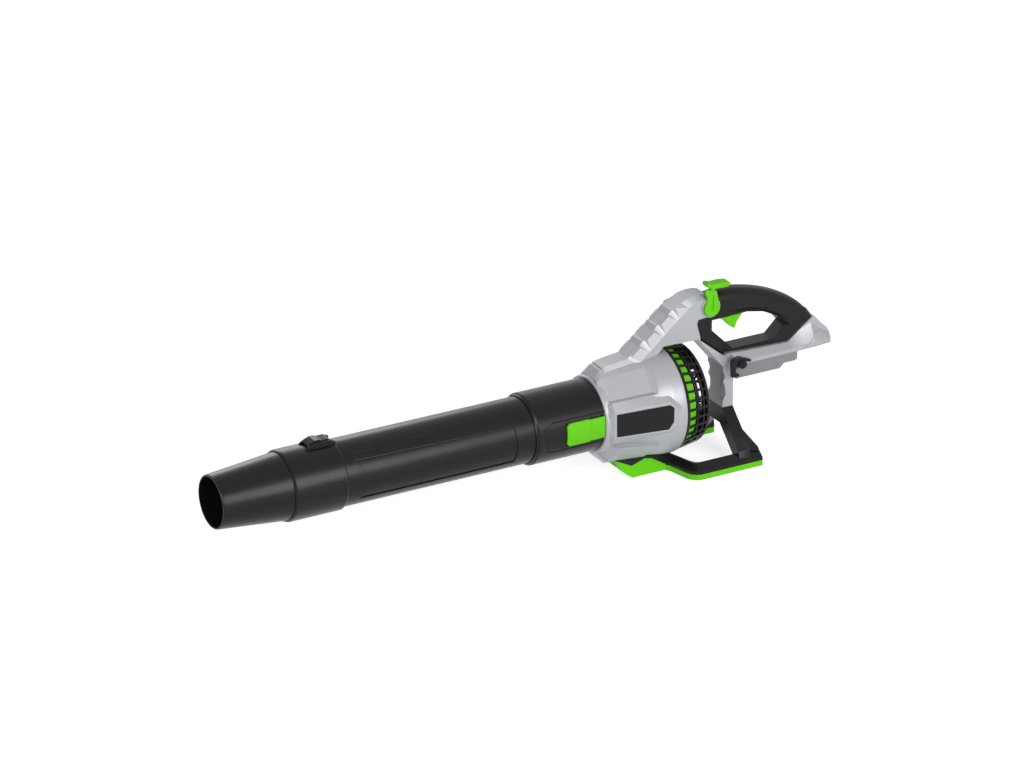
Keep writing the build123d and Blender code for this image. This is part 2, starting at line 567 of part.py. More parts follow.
def make_bay():
    """Silver band under the handle, flared out into the battery bay's roof, and the tail."""
    front, rear = BRACKET_REAR - 2, TAIL_END - 26
    roof_z = BAND_LOW - 1
    top_half = LOOP_HALF + 2
    band = ruled([
        cross_section(front, [(-top_half, BAND_TOP + 4), (-BAY_HALF + 4, BAND_LOW + 5),
                              (-BAY_HALF + 4, BAND_LOW),
                              (BAY_HALF - 4, BAND_LOW), (BAY_HALF - 4, BAND_LOW + 5),
                              (top_half, BAND_TOP + 4)]),
        cross_section(front + 16, [(-top_half, BAND_TOP + 3), (-BAY_HALF, BAND_LOW + 5),
                                   (-BAY_HALF, BAND_LOW),
                                   (BAY_HALF, BAND_LOW), (BAY_HALF, BAND_LOW + 5),
                                   (top_half, BAND_TOP + 3)]),
        cross_section(rear, [(-top_half, BAND_TOP), (-BAY_HALF + 2, BAND_LOW + 5), (-BAY_HALF + 2, BAND_LOW),
                             (BAY_HALF - 2, BAND_LOW), (BAY_HALF - 2, BAND_LOW + 5), (top_half, BAND_TOP)])])
    tail_side = [(880.0, roof_z + 1), (880.0, BAND_TOP), (906.0, 65.0), (921.0, 75.5), (926.0, 74.0),
                 (935.0, 63.5),
                 (944.0, 55.5), (948.5, 48.0), (TAIL_END, 42.0), (TAIL_END - 4.0, roof_z + 1)]
    upper = slab(tail_side, -LOOP_HALF, LOOP_HALF)
    flare = ruled([
        cross_section(880, [(-top_half, BAND_TOP + 1), (-BAY_HALF + 2, BAND_LOW + 6),
                            (-BAY_HALF + 2, BAND_LOW),
                            (BAY_HALF - 2, BAND_LOW), (BAY_HALF - 2, BAND_LOW + 6),
                            (top_half, BAND_TOP + 1)]),
        cross_section(918, [(-15, 72), (-BAY_HALF + 2, BAND_LOW + 8), (-BAY_HALF + 2, BAND_LOW),
                            (BAY_HALF - 2, BAND_LOW), (BAY_HALF - 2, BAND_LOW + 8), (15, 72)]),
        cross_section(TAIL_END - 4, [(-13, 49), (-BAY_HALF + 5, BAND_LOW + 8), (-BAY_HALF + 5, BAND_LOW),
                                     (BAY_HALF - 5, BAND_LOW), (BAY_HALF - 5, BAND_LOW + 8), (13, 49)])])
    grown = ruled([
        cross_section(880, [(-top_half - 0.7, BAND_TOP + 1), (-BAY_HALF + 1.3, BAND_LOW + 6.3),
                            (-BAY_HALF + 1.3, BAND_LOW),
                            (0, BAND_LOW), (0, BAND_TOP + 1)]),
        cross_section(918, [(-15.7, 72.3), (-BAY_HALF + 1.3, BAND_LOW + 8.3), (-BAY_HALF + 1.3, BAND_LOW),
                            (0, BAND_LOW), (0, 72)]),
        cross_section(TAIL_END - 4, [(-13.7, 49.3), (-BAY_HALF + 4.3, BAND_LOW + 8.3),
                                     (-BAY_HALF + 4.3, BAND_LOW),
                                     (0, BAND_LOW), (0, 49)])])
    raised = slab(TAIL_PANEL, -BAY_HALF - 2, -5)
    return band + upper + flare + both_sides(grown & raised)


# bare raised panel
TAIL_PANEL = [(905.0, 37.0), (922.0, 53.5), (939.5, 54.5), (943.5, 50.0), (944.5, 37.0)]


def make_casing():
    """The silver clamshell, hollow, in two halves that meet on the blower's middle plane."""
    body = make_fan_housing() + make_ridge() + make_bracket() + make_bay()
    wall = CASING_WALL
    bore = SOCKET_R + DUCT_WALL + SHELL_GAP
    cavity = turned([(COUPLING_END - 1, 0), (COUPLING_END - 1, bore), (580, bore), (592, 55.0 - wall),
                     (612, 62.0 - wall), (634, 68.6 - wall), (652, 73.6 - wall), (668, RIM_R - wall - 0.5),
                     (RIM_END + 1, RIM_R - wall - 0.5), (RIM_END + 1, 0)])
    body -= cavity - both_sides(panel_space(wall))
    body -= slab([(606.0, 50.0), (608.0, 58.0), (632.0, 64.0), (716.0, 130.5), (730.0, 134.5),
                  (743.0, 133.0),
                  (748.0, 122.0), (730.0, 112.0), (728.0, 104.0), (731.0, 88.5), (684.0, 88.5),
                  (650.0, 60.0)],
                 -SIDE_HALF + 5, SIDE_HALF - 5)
    body += cross_pin(*NECK_SCREW, -SIDE_HALF + 4, SIDE_HALF - 4, SCREW_BOSS_R)
    body -= block(BRACKET_FRONT + 7.5, BRACKET_REAR - 3, -SIDE_HALF + 4, SIDE_HALF - 4, BRACKET_BOTTOM + 4,
                  34)
    body -= block(BRACKET_REAR + 10, TAIL_END - 34, -BAY_HALF + 9, BAY_HALF - 9, BAND_LOW + 3, BAND_TOP - 3)
    body += cross_pin(*LEVER_PIVOT, -SIDE_HALF - LEVER_RING_RISE, -SIDE_HALF + 4, LEVER_DISC_R + LEVER_RING)
    body -= handle_form()
    body -= cross_pin(*LEVER_PIVOT, -SIDE_HALF - 2.0, -SIDE_HALF, LEVER_DISC_R + FIT)
    body -= cross_pin(*LEVER_PIVOT, -SIDE_HALF - 1, -6, LEVER_SHAFT_R + RUNNING_GAP)
    body -= cross_pin(*RELEASE_PIVOT, -BAY_HALF - 1, -BAY_HALF + 6, RELEASE_PIN_R)
    for cutter in foot_screw_bores():
        body -= cutter
    plate = plate_form(0.0)
    left = left_half(body) - plate
    for cutter in screw_bores():
        left -= cutter
    right = right_half(body)
    for cutter in screw_bores():
        right -= cutter
    save("housing_left", left)
    save("housing_right", right)
    save("side_plate", plate_form(0.15))
    save("housing_screws", Compound(children=screws()))


PLATE_START = 583.6
PLATE_OUTLINE = [(583.6, 19.0), (659.8, 22.9), (665.9, 17.7), (665.5, -2.8), (658.2, -13.1), (583.8, -14.2)]


def plate_form(gap):
    """Bare plate let into the left pod's face, or, with no gap, the pocket for it."""
    outline = inset([(x - PLATE_START, z) for x, z in PLATE_OUTLINE], gap)
    plate = slab(outline, -0.5, PLATE_THICKNESS)
    return plate.rotate(Axis.Z, -degrees(atan(POD_SLOPE))).moved(Location((PLATE_START,
                                                                           pod_face(PLATE_START), 0)))


NECK_SCREW = (712.0, 117.0)
SCREW_BOSS_R = 5.5
SCREW_PLACES = [(598.0, 50.0), NECK_SCREW, (744.0, 102.0), (785.0, -10.0), (800.0, 42.0), (925.0, 50.0)]
SCREW_HEAD_R = 3.4
SCREW_R = 1.6


def screw_bores():
    """Stepped holes for the clamshell's screws, entered from the right."""
    cutters = []
    for x, z in SCREW_PLACES:
        cutters.append(cross_pin(x, z, -14.0, 60.0, SCREW_R))
        cutters.append(cross_pin(x, z, 12.0, 90.0, SCREW_HEAD_R + 0.2))
    return cutters


def screws():
    made = []
    for x, z in SCREW_PLACES:
        screw = cross_pin(x, z, -13.5, 12.5, SCREW_R) + cross_pin(x, z, 12.0, 14.4, SCREW_HEAD_R)
        screw -= block(x - 0.5, x + 0.5, 13.4, 15, z - 2.2, z + 2.2) + block(x - 2.2, x + 2.2, 13.4, 15,
                                                                             z - 0.5, z + 0.5)
        made.append(screw)
    return made


# ---------------------------------------------------------------- handle
HANDLE_OUTLINE = [(734.0, 111.0), (732.0, 105.0), (737.5, 80.0), (777.0, 47.5), (783.0, 51.0), (884.0, 46.0),
                  (908.0, 66.0), (922.0, 76.0), (912.0, 89.5), (895.0, 101.0), (875.0, 106.0),
                  (840.0, 106.0),
                  (800.0, 112.0), (757.0, 121.0)]
FINGER_HOLE = [(761.5, 102.0), (761.5, 87.0), (795.0, 53.5), (861.0, 53.5), (879.0, 71.0), (866.0, 87.0),
               (843.0, 98.3), (818.0, 103.4), (790.0, 102.5)]
GRIP_SECTIONS = [(745.0, 123.5, 33.0), (770.0, 122.5, 38.0), (794.0, 121.8, 39.0), (817.0, 120.0, 34.5),
                 (840.5, 114.4, 32.0), (860.0, 106.5, 32.0), (880.0, 95.6, 32.0), (900.0, 80.0, 31.0)]
LEVER_SHAFT_R = 5.0
TRIGGER_PIN_R = 2.0
LOOP_BEVEL = 3.5
HOLE_BEVEL = 4.6
REAR_POCKET = [(902.0, 80.5), (911.4, 72.8), (904.0, 64.4), (881.0, 49.6), (868.0, 56.5)]


def grip_form(inset, sections, extra=0.0):
    """Rounded bar lofted through upright-to-the-path sections (x, z, height)."""
    faces = []
    for i, (x, z, height) in enumerate(sections):
        ax, az, _ = sections[max(i - 1, 0)]
        bx, bz, _ = sections[min(i + 1, len(sections) - 1)]
        along = Vector(bx - ax, 0, bz - az).normalized()
        plane = Plane(origin=(x, 0, z), x_dir=(0, 1, 0), z_dir=along)
        width, tall = GRIP_WIDTH - 2 * inset, height - 2 * inset
        faces.append(plane * RectangleRounded(width, tall, min(width, tall) * 0.42))
    return loft(faces)


def handle_form():
    loop = bevelled(HANDLE_OUTLINE, LOOP_HALF, LOOP_BEVEL) - bevelled_hole(FINGER_HOLE, LOOP_HALF,
                                                                           HOLE_BEVEL)
    return loop + grip_form(0, GRIP_SECTIONS)


def make_handle():
    form = handle_form()
    form -= grip_form(GRIP_WALL, [(760.0, 122.5, 37.5)] + GRIP_SECTIONS[2:5])
    slot = block(TRIGGER_PIVOT[0] - 8, 817, -TRIGGER_WIDTH / 2 - 0.8, TRIGGER_WIDTH / 2 + 0.8, 95, 112)
    form -= slot
    form -= slab([(752.0, 106.0), (748.0, 100.0), (750.0, 84.0), (785.0, 52.5), (790.0, 56.0), (757.0, 86.0),
                  (756.5, 106.0)], -LOOP_HALF + 4, LOOP_HALF - 4)
    form -= cross_pin(*LEVER_PIVOT, -SIDE_HALF - 1, -6, LEVER_SHAFT_R + RUNNING_GAP)
    form -= cross_pin(*TRIGGER_PIVOT, -LOOP_HALF + 3, LOOP_HALF - 3, TRIGGER_PIN_R)
    pocket = ruled([polygon(REAR_POCKET, -LOOP_HALF - 1),
                    polygon(inset(REAR_POCKET, 2.2), -LOOP_HALF + 1.2)])
    form -= both_sides(pocket)
    left, right = left_half(form), right_half(form)
    for cutter in screw_bores():
        left -= cutter
        right -= cutter
    save("handle_left", left)
    save("handle_right", right)


# ---------------------------------------------------------------- controls
def make_controls():
    px, pz = TRIGGER_PIVOT
    half = TRIGGER_WIDTH / 2
    trigger = slab([(px - 4, pz + 3), (px + 2, pz + 4.5), (px + 20, pz + 4.5), (px + 42, pz + 0.5),
                    (px + 43.5, pz - 6),
                    (px + 41, pz - 13), (px + 34, pz - 21), (px + 31, pz - 29.5), (px + 28, pz - 30),
                    (px + 18, pz - 20),
                    (px + 9, pz - 13), (px - 3, pz - 5)], -half, half)
    outer = trigger.edges().filter_by(Axis.Y).group_by(Axis.Z)[0]
    trigger = fillet(outer, 1.2)
    trigger += cross_pin(px, pz, -half, half, 5)
    trigger -= cross_pin(px, pz, -half - 1, half + 1, TRIGGER_PIN_R + RUNNING_GAP)
    trigger -= block(px - 7, px + 7, -4, 4, pz - 8, pz + 8)
    save("trigger", trigger)
    save("trigger_pin", cross_pin(px, pz, -LOOP_HALF + 3, LOOP_HALF - 3, TRIGGER_PIN_R))
    turns = 3
    wire = 0.5
    coil_r = TRIGGER_PIN_R + wire + 0.4
    path = Helix(pitch=2.0, height=2.0 * turns, radius=coil_r)
    ring = Plane(origin=path @ 0, z_dir=path % 0) * Circle(wire)
    spring = sweep(ring, path=path).rotate(Axis.X, -90).moved(Location((px, -3, pz)))
    save("trigger_spring", spring)

    ledge = GRIP_WIDTH / 2 - GRIP_WALL - FIT
    body = block(778, 806, -7, 7, 126.5, 134.5) + block(780, 804, -ledge, ledge, 126.5, 129.5)
    body += block(786, 790, -3, 3, 124.8, 127)
    save("trigger_switch", body)

    lx, lz = LEVER_PIVOT
    y_in, y_out = -SIDE_HALF - FIT, -SIDE_HALF - 5.0
    lever = cross_pin(lx, lz, y_out, y_in, LEVER_DISC_R)
    lever += cross_pin(lx, lz, y_in - 1, -7, LEVER_SHAFT_R)
    y_stem = -SIDE_HALF - LEVER_RING_RISE - FIT
    lever += slab([(lx - 10, lz + 6), (lx - 7.4, lz + 16.2), (lx - 10.6, lz + 22), (lx - 11.2, lz + 27.5),
                   (lx - 9.5, lz + 28.6), (lx + 6.5, lz + 24.2), (lx + 8, lz + 18), (lx + 9.3, lz + 12),
                   (lx + 11, lz + 5)], y_out, y_stem)
    lever += block(lx - 2, lx + 4.5, y_out + 1, y_stem, lz + 23, lz + 29)
    lever += bevelled_bar([(lx - 8, lz + 34), (lx - 6.5, lz + 31), (lx - 1, lz + 28.2), (lx + 6, lz + 26.6),
                           (lx + 25, lz + 25.8), (lx + 29, lz + 28), (lx + 30, lz + 31),
                           (lx + 27, lz + 33.3),
                           (lx + 15, lz + 34.8), (lx + 3, lz + 34.6), (lx - 5.5, lz + 37)], y_out + 1.2,
                           -9.0, 1.2)
    lever -= slab([(lx - 3.6, lz + 1), (lx - 1.2, lz - 4), (lx + 1.6, lz - 2), (lx + 2.2, lz + 19),
                   (lx + 0.6, lz + 19),
                   (lx, lz)],
                  y_out - 1, y_out + 1.2)
    save("cruise_lever", lever)

    rx, rz = RELEASE_PIVOT
    y0, y1 = -BAY_HALF - 7.0, -BAY_HALF - FIT
    hook = slab([(rx - 17, rz + 4), (rx - 15, rz + 8), (rx - 6, rz + 12), (rx + 14, rz + 4),
                 (rx + 13, rz + 1),
                 (rx - 2, rz + 6), (rx - 9, rz + 4), (rx - 11.5, rz), (rx - 11.5, rz - 13),
                 (rx - 5, rz - 14),
                 (rx - 5, rz - 17), (rx - 16, rz - 17)], y0 + 1, y1)
    hook += slab([(rx - 12, rz - 3), (rx, rz - 5), (rx, rz + 5), (rx - 12, rz + 3)], y0 + 2, y1)
    hook += cross_pin(rx, rz, y0 - 0.5, y1, 6.2)
    hook -= cross_pin(rx, rz, y0 - 3, y1 + 1, RELEASE_PIN_R + RUNNING_GAP)
    hook -= cross_pin(rx, rz, y0 - 1, y0 + 0.8, RELEASE_HEAD_R + RUNNING_GAP)
    save("release_lever", hook)
    pin = cross_pin(rx, rz, y0 - 1, -BAY_HALF + 6, RELEASE_PIN_R) + cross_pin(rx, rz, y0 - 1, y0 + 0.7,
                                                                              RELEASE_HEAD_R)
    save("release_pin", pin)


RELEASE_PIVOT = (797.0, 38.0)
RELEASE_PIN_R = 2.0
RELEASE_HEAD_R = 3.6


# ---------------------------------------------------------------- battery bay
RAIL_HALF = 27.0
RAIL_BOTTOM = 21.0
LIP_BOTTOM = 14.0


def make_battery_bay():
    top = BAND_LOW
    x0, x1 = BRACKET_REAR + 0.3, 891.0
    side = slab([(x0, RAIL_BOTTOM), (x1 - 4, RAIL_BOTTOM), (x1, RAIL_BOTTOM + 2.5), (x1, top - 5),
                 (x1 - 1, top),
                 (x0, top)], -RAIL_HALF, -RAIL_HALF + 3)
    lip = slab([(x0, LIP_BOTTOM), (863.0, LIP_BOTTOM), (871.0, RAIL_BOTTOM + 0.5), (x0, RAIL_BOTTOM + 0.5)],
               -RAIL_HALF + 1, -RAIL_HALF + 4)
    shelf = slab([(x0, LIP_BOTTOM), (863.0, LIP_BOTTOM), (864.5, LIP_BOTTOM + 2.2), (x0, LIP_BOTTOM + 2.2)],
                 -RAIL_HALF + 3, -RAIL_HALF + 10)
    rails = both_sides(side + lip + shelf) + block(x0, x0 + 3, -RAIL_HALF, RAIL_HALF, LIP_BOTTOM, top)
    rails += block(x0, x1, -RAIL_HALF, RAIL_HALF, top - 2.5, top)
    save("battery_rails", rails)

    tx = x0 + 3
    base = block(tx, tx + 16, -17, 17, RAIL_BOTTOM - 1, top - 2.5)
    for y in (-12, -4, 4, 12):
        base -= block(tx + 6, tx + 17, y - 1.6, y + 1.6, RAIL_BOTTOM - 2, top - 5)
    save("terminal_block", base)
    save("terminal_blades", Compound(children=[block(tx + 6, tx + 22, y - 0.5, y + 0.5, RAIL_BOTTOM + 0.5,
                                                     top - 5)
                                               for y in (-12, -4, 4, 12)]))
    case = block(690, 726, -13.5, 13.5, 88.8, 100) + block(694, 716, -11, 11, 100, 105)
    save("controller", case)


# ---------------------------------------------------------------- foot
KEEL_Z = -71.0
UNDER_RIM = -RIM_R - FIT     # top of the foot where it passes under the casing's rim
DECK_START, DECK_END = 607.0, 694.0
DECK_HALF = 18.0
RAIL_REAR = 810.0
RAIL_TOP, RAIL_EDGE = -82.0, -90.0     # crest of the side rails, and the outer edge of their slope
HEEL_TOP = -79.0
FLOOR = -AXIS_HEIGHT
PAD_TOP = FLOOR + PAD_HEIGHT
CROTCH = (13.0, -53.0)       # half width and height of the A's inner corner


LEFT_RUN = [(664.0, 0.0), (664.0, -17.0), (686.0, -17.5), (690.0, -26.0), (697.0, -57.0), (700.5, -64.0),
            (705.5, -68.8), (712.5, -FOOT_HALF), (RAIL_REAR, -FOOT_HALF), (RAIL_REAR, -56.0), (718.0, -56.0),
            (712.0, -53.0), (708.5, -46.0), (699.0, -13.0), (694.0, 0.0)]     # plan of the left arm and rail
LEFT_CREST = [(664.0, 0.0), (670.0, -10.0), (688.0, -11.0), (696.5, -24.0), (706.0, -54.5), (708.5, -58.0),
              (711.5, -59.6), (716.0, -60.0), (RAIL_REAR, -60.0), (RAIL_REAR, -57.5), (717.0, -57.5),
              # and of the crest along its top
              (711.0, -54.0), (707.5, -46.5), (698.0, -13.0), (694.0, 0.0)]


def plan(points, z):
    """Face through points (x, y) at this height."""
    return make_face(Polyline(*[(x, y, z) for x, y in points], close=True))


def make_foot():
    seam = [(DECK_START + 1, KEEL_Z - 1), (632.7, -84.5), (653.0, -77.5), (664.0, -80.0),
            (686.0, PAD_TOP + 1),
            (DECK_END, PAD_TOP + 1)]                  # where the black frame ends and the green pad starts
    top = [(DECK_END, UNDER_RIM), (678.0, UNDER_RIM), (664.0, -76.2), (652.0, -74.0), (640.0, KEEL_Z),
           (DECK_START, KEEL_Z)]
    deck = slab(seam + top, -DECK_HALF, DECK_HALF)
    run = extrude(plan(LEFT_RUN, PAD_TOP), amount=RAIL_EDGE - PAD_TOP)
    run += ruled([plan(LEFT_RUN, RAIL_EDGE), plan(LEFT_CREST, RAIL_TOP)])
    x0, x1 = BRACKET_FRONT, BRACKET_REAR
    top_half = SIDE_HALF - 0.5
    leg = ruled([
        cross_section(x0, [(0, BRACKET_BOTTOM), (-top_half, BRACKET_BOTTOM), (-50, -63.5), (-63, -78.5),
                           (-69, PAD_TOP),
                           (-50, PAD_TOP), (-47, -86), (-CROTCH[0], CROTCH[1]), (0, CROTCH[1])]),
        cross_section(x1, [(0, BRACKET_BOTTOM), (-top_half, BRACKET_BOTTOM), (-55, -62.5), (-66, -76.5),
                           (-70, PAD_TOP),
                           (-50, PAD_TOP), (-47, -86), (-CROTCH[0], CROTCH[1]), (0, CROTCH[1])])])
    heel = ruled([
        cross_section(x1 - 1, [(-46, -58), (-55, -62.5), (-66, -76.5), (-70, PAD_TOP), (-57, PAD_TOP),
                               (-50, -84)]),
        cross_section(RAIL_REAR, [(-58, HEEL_TOP), (-61, HEEL_TOP), (-FOOT_HALF, -81), (-FOOT_HALF, PAD_TOP),
                                  (-56, PAD_TOP), (-56, -84)])])
    frame = deck + both_sides(run) + both_sides(leg) + both_sides(heel)
    for cutter in foot_screw_bores():
        frame -= cutter
    save("foot_frame", frame)

    chin = slab(seam + [(DECK_END, FLOOR + 3), (DECK_END - 5, FLOOR), (634, FLOOR), (626.6, FLOOR + 5.5),
                        (616.8, -89.0)], -DECK_HALF, DECK_HALF)
    pad = chin + both_sides(extrude(plan(LEFT_RUN, FLOOR), amount=PAD_HEIGHT)) - frame
    for cutter in foot_screw_bores():
        pad -= cutter
    save("foot_pad", pad)
    made = []
    for x in FOOT_SCREW_X:
        screw = upright(x, FOOT_HEAD_Z, FOOT_HEAD_Z + FOOT_SCREW_LENGTH, FOOT_SCREW_R)
        made.append(screw + upright(x, FOOT_HEAD_Z - FOOT_HEAD_DEPTH, FOOT_HEAD_Z, FOOT_HEAD_R))
    save("foot_screws", Compound(children=made))


def upright(x, z0, z1, radius):
    """Cylinder along Z on the middle plane."""
    return Cylinder(radius, z1 - z0).moved(Location((x, 0, (z0 + z1) / 2)))


def foot_screw_bores():
    """Bores for the two screws that hold the foot to the keel, with their wide lower part."""
    cutters = []
    for x in FOOT_SCREW_X:
        cutters.append(upright(x, FOOT_HEAD_Z - 1, FOOT_HEAD_Z + FOOT_SCREW_LENGTH, FOOT_SCREW_R))
        cutters.append(upright(x, FLOOR - 1, FOOT_HEAD_Z, FOOT_HEAD_R + FIT))
    return cutters


FOOT_SCREW_X = (617.0, 641.0)
FOOT_SCREW_R = 1.8
FOOT_HEAD_R = 3.6
FOOT_HEAD_DEPTH = 2.2
FOOT_HEAD_Z = KEEL_Z - 8.5
FOOT_SCREW_LENGTH = 12.0


def main():
    make_nozzle()
    make_tubes()
    make_air_path()
    make_guard()
    make_casing()
    make_handle()
    make_controls()
    make_battery_bay()
    make_foot()
    os.makedirs("parts", exist_ok=True)
    for name, shape in PARTS.items():
        export_step(shape, f"parts/{name}.step")


main()
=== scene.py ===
"""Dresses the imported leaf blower: finishes, camera, lights and floor."""
import json
import math

import bmesh
import bpy
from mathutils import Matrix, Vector


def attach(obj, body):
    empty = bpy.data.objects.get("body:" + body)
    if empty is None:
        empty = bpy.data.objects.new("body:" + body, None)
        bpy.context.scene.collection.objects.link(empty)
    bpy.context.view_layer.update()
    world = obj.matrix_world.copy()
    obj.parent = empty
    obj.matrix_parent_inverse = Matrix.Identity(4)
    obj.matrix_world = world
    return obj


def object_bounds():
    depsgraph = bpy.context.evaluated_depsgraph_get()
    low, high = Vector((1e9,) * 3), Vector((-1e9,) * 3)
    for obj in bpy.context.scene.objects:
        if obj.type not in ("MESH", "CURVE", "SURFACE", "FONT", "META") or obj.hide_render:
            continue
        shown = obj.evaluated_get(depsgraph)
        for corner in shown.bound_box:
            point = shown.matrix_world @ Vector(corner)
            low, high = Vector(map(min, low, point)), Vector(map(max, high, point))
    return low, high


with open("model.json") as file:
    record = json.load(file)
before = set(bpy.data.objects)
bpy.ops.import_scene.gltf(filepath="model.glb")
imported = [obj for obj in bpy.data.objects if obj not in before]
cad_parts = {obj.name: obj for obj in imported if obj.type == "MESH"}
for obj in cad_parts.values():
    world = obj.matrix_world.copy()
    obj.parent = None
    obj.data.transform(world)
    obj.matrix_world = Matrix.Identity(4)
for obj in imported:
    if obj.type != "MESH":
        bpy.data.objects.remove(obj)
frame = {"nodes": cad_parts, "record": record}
cad_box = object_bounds()
nodes = frame["nodes"]
scene = bpy.context.scene
scene.view_settings.view_transform = "Standard"


# ---------------------------------------------------------------- finishes
def srgb(r, g, b):
    """Linear colour, with alpha, of an sRGB colour given from 0 to 255."""
    def linear(v):
        v /= 255.0
        return v / 12.92 if v <= 0.04045 else ((v + 0.055) / 1.055) ** 2.4
    return (linear(r), linear(g), linear(b), 1.0)


def finish(name, colour, roughness, metallic=0.0, mottle=0.04, grain=None, depth=0.0, bevel=0.0,
           specular=0.5):
    """Moulded or machined surface: a faint mottle in colour and gloss, a fine grain, and softened edges."""
    material = bpy.data.materials.new(name)
    material.use_nodes = True
    tree = material.node_tree
    shader = tree.nodes["Principled BSDF"]
    shader.inputs["Metallic"].default_value = metallic
    shader.inputs["Specular IOR Level"].default_value = specular
    place = tree.nodes.new("ShaderNodeTexCoord")

    broad = tree.nodes.new("ShaderNodeTexNoise")
    broad.inputs["Scale"].default_value = 22.0
    broad.inputs["Detail"].default_value = 4.0
    tree.links.new(place.outputs["Object"], broad.inputs["Vector"])
    shade = tree.nodes.new("ShaderNodeMapRange")
    shade.inputs["To Min"].default_value = 1.0 - mottle
    shade.inputs["To Max"].default_value = 1.0 + mottle
    tree.links.new(broad.outputs["Fac"], shade.inputs["Value"])
    tint = tree.nodes.new("ShaderNodeVectorMath")
    tint.operation = "SCALE"
    tint.inputs[0].default_value = colour[:3]
    tree.links.new(shade.outputs["Result"], tint.inputs["Scale"])
    tree.links.new(tint.outputs["Vector"], shader.inputs["Base Color"])

    gloss = tree.nodes.new("ShaderNodeMapRange")
    gloss.inputs["To Min"].default_value = roughness - 0.05
    gloss.inputs["To Max"].default_value = roughness + 0.05
    tree.links.new(broad.outputs["Fac"], gloss.inputs["Value"])
    tree.links.new(gloss.outputs["Result"], shader.inputs["Roughness"])

    normal = None
    if bevel:
        soften = tree.nodes.new("ShaderNodeBevel")
        soften.samples = 4
        soften.inputs["Radius"].default_value = bevel
        normal = soften.outputs["Normal"]
    if grain:
        fine = tree.nodes.new("ShaderNodeTexNoise")
        fine.inputs["Scale"].default_value = grain
        fine.inputs["Detail"].default_value = 2.0
        tree.links.new(place.outputs["Object"], fine.inputs["Vector"])
        bump = tree.nodes.new("ShaderNodeBump")
        bump.inputs["Strength"].default_value = 0.35
        bump.inputs["Distance"].default_value = depth
        tree.links.new(fine.outputs["Fac"], bump.inputs["Height"])
        if normal:
            tree.links.new(normal, bump.inputs["Normal"])
        normal = bump.outputs["Normal"]
    if normal:
        tree.links.new(normal, shader.inputs["Normal"])
    return material


FINISHES = {
    "silver_plastic": finish("silver_plastic", srgb(172, 174, 178), 0.4, metallic=0.25, grain=2600.0,
                             depth=0.0001, bevel=0.0006),
    "black_plastic": finish("black_plastic", srgb(21, 21, 22), 0.29, grain=2200.0, depth=0.0001, mottle=0.08,
                            bevel=0.0006, specular=0.2),
    "grip_rubber": finish("grip_rubber", srgb(20, 20, 21), 0.42, grain=1500.0, depth=0.0002, mottle=0.08,
                          bevel=0.0008, specular=0.2),
    "green_plastic": finish("green_plastic", srgb(100, 200, 4), 0.5, grain=2200.0, depth=0.0001, bevel=0.0008,
                            specular=0.25),
    "grey_plastic": finish("grey_plastic", srgb(128, 130, 133), 0.48, grain=2200.0, depth=0.0001,
                           bevel=0.0008),
    "motor_metal": finish("motor_metal", srgb(150, 150, 155), 0.35, metallic=0.9, grain=900.0, depth=0.0001),
    "steel": finish("steel", srgb(170, 170, 172), 0.3, metallic=1.0, mottle=0.06, bevel=0.0003),
    "brass": finish("brass", srgb(200, 160, 80), 0.3, metallic=1.0, mottle=0.06),
}
BLACKENED = finish("blackened_steel", srgb(30, 30, 32), 0.34, metallic=0.8, grain=900.0, depth=0.0001,
                   mottle=0.08, bevel=0.0003)
BLACKENED_PINS = ("release_pin", "nozzle_latch_pin", "tube_latch_pin")
for entry in frame["record"]["subparts"]:
    node = nodes[entry["node"]]
    node.data.materials.clear()
    blackened = entry["node"] in BLACKENED_PINS
    node.data.materials.append(BLACKENED if blackened else FINISHES[entry["material_slot"]])


# ---------------------------------------------------------------- small trim that rides on the bodies
# in millimetres
TIP_AHEAD = 475.0      # from the nozzle's tip back to the origin
AXIS_HEIGHT = 102.5    # of the air axis above the floor
RING_STEPS = 64        # corners round a ring


def point(s, y, z):
    """Place of a point given in millimetres from the nozzle's tip, across, and above the air axis."""
    return Vector(((s - TIP_AHEAD) / 1000.0, y / 1000.0, (z + AXIS_HEIGHT) / 1000.0))


def piece(name, body, slot, made, rounding):
    """A piece of trim from a filled bmesh, with the finish of a slot of the record."""
    data = bpy.data.meshes.new(name)
    made.to_mesh(data)
    made.free()
    trim = bpy.data.objects.new(name, data)
    scene.collection.objects.link(trim)
    data.materials.append(FINISHES[slot])
    if rounding:
        edge = trim.modifiers.new("edge", "BEVEL")
        edge.width = rounding
        edge.segments = 2
    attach(trim, body)


def hull(made, corners):
    """Adds the convex block round these corners."""
    verts = [made.verts.new(corner) for corner in corners]
    bmesh.ops.convex_hull(made, input=verts)
    bmesh.ops.delete(made, geom=[v for v in verts if not v.link_faces], context="VERTS")


def ring(made, s, y0, y1, z, inner, outer):
    """Adds a flat ring about an axis across the blower."""
    rows = []
    for i in range(RING_STEPS):
        a = 2 * math.pi * i / RING_STEPS
        rows.append([made.verts.new(point(s + r * math.cos(a), y, z + r * math.sin(a)))
                     for r, y in ((inner, y1), (outer, y1), (outer, y0), (inner, y0))])
    for i, row in enumerate(rows):
        after = rows[(i + 1) % RING_STEPS]
        for k in range(4):
            made.faces.new((row[k], after[k], after[(k + 1) % 4], row[(k + 1) % 4]))
    bmesh.ops.recalc_face_normals(made, faces=made.faces[:])


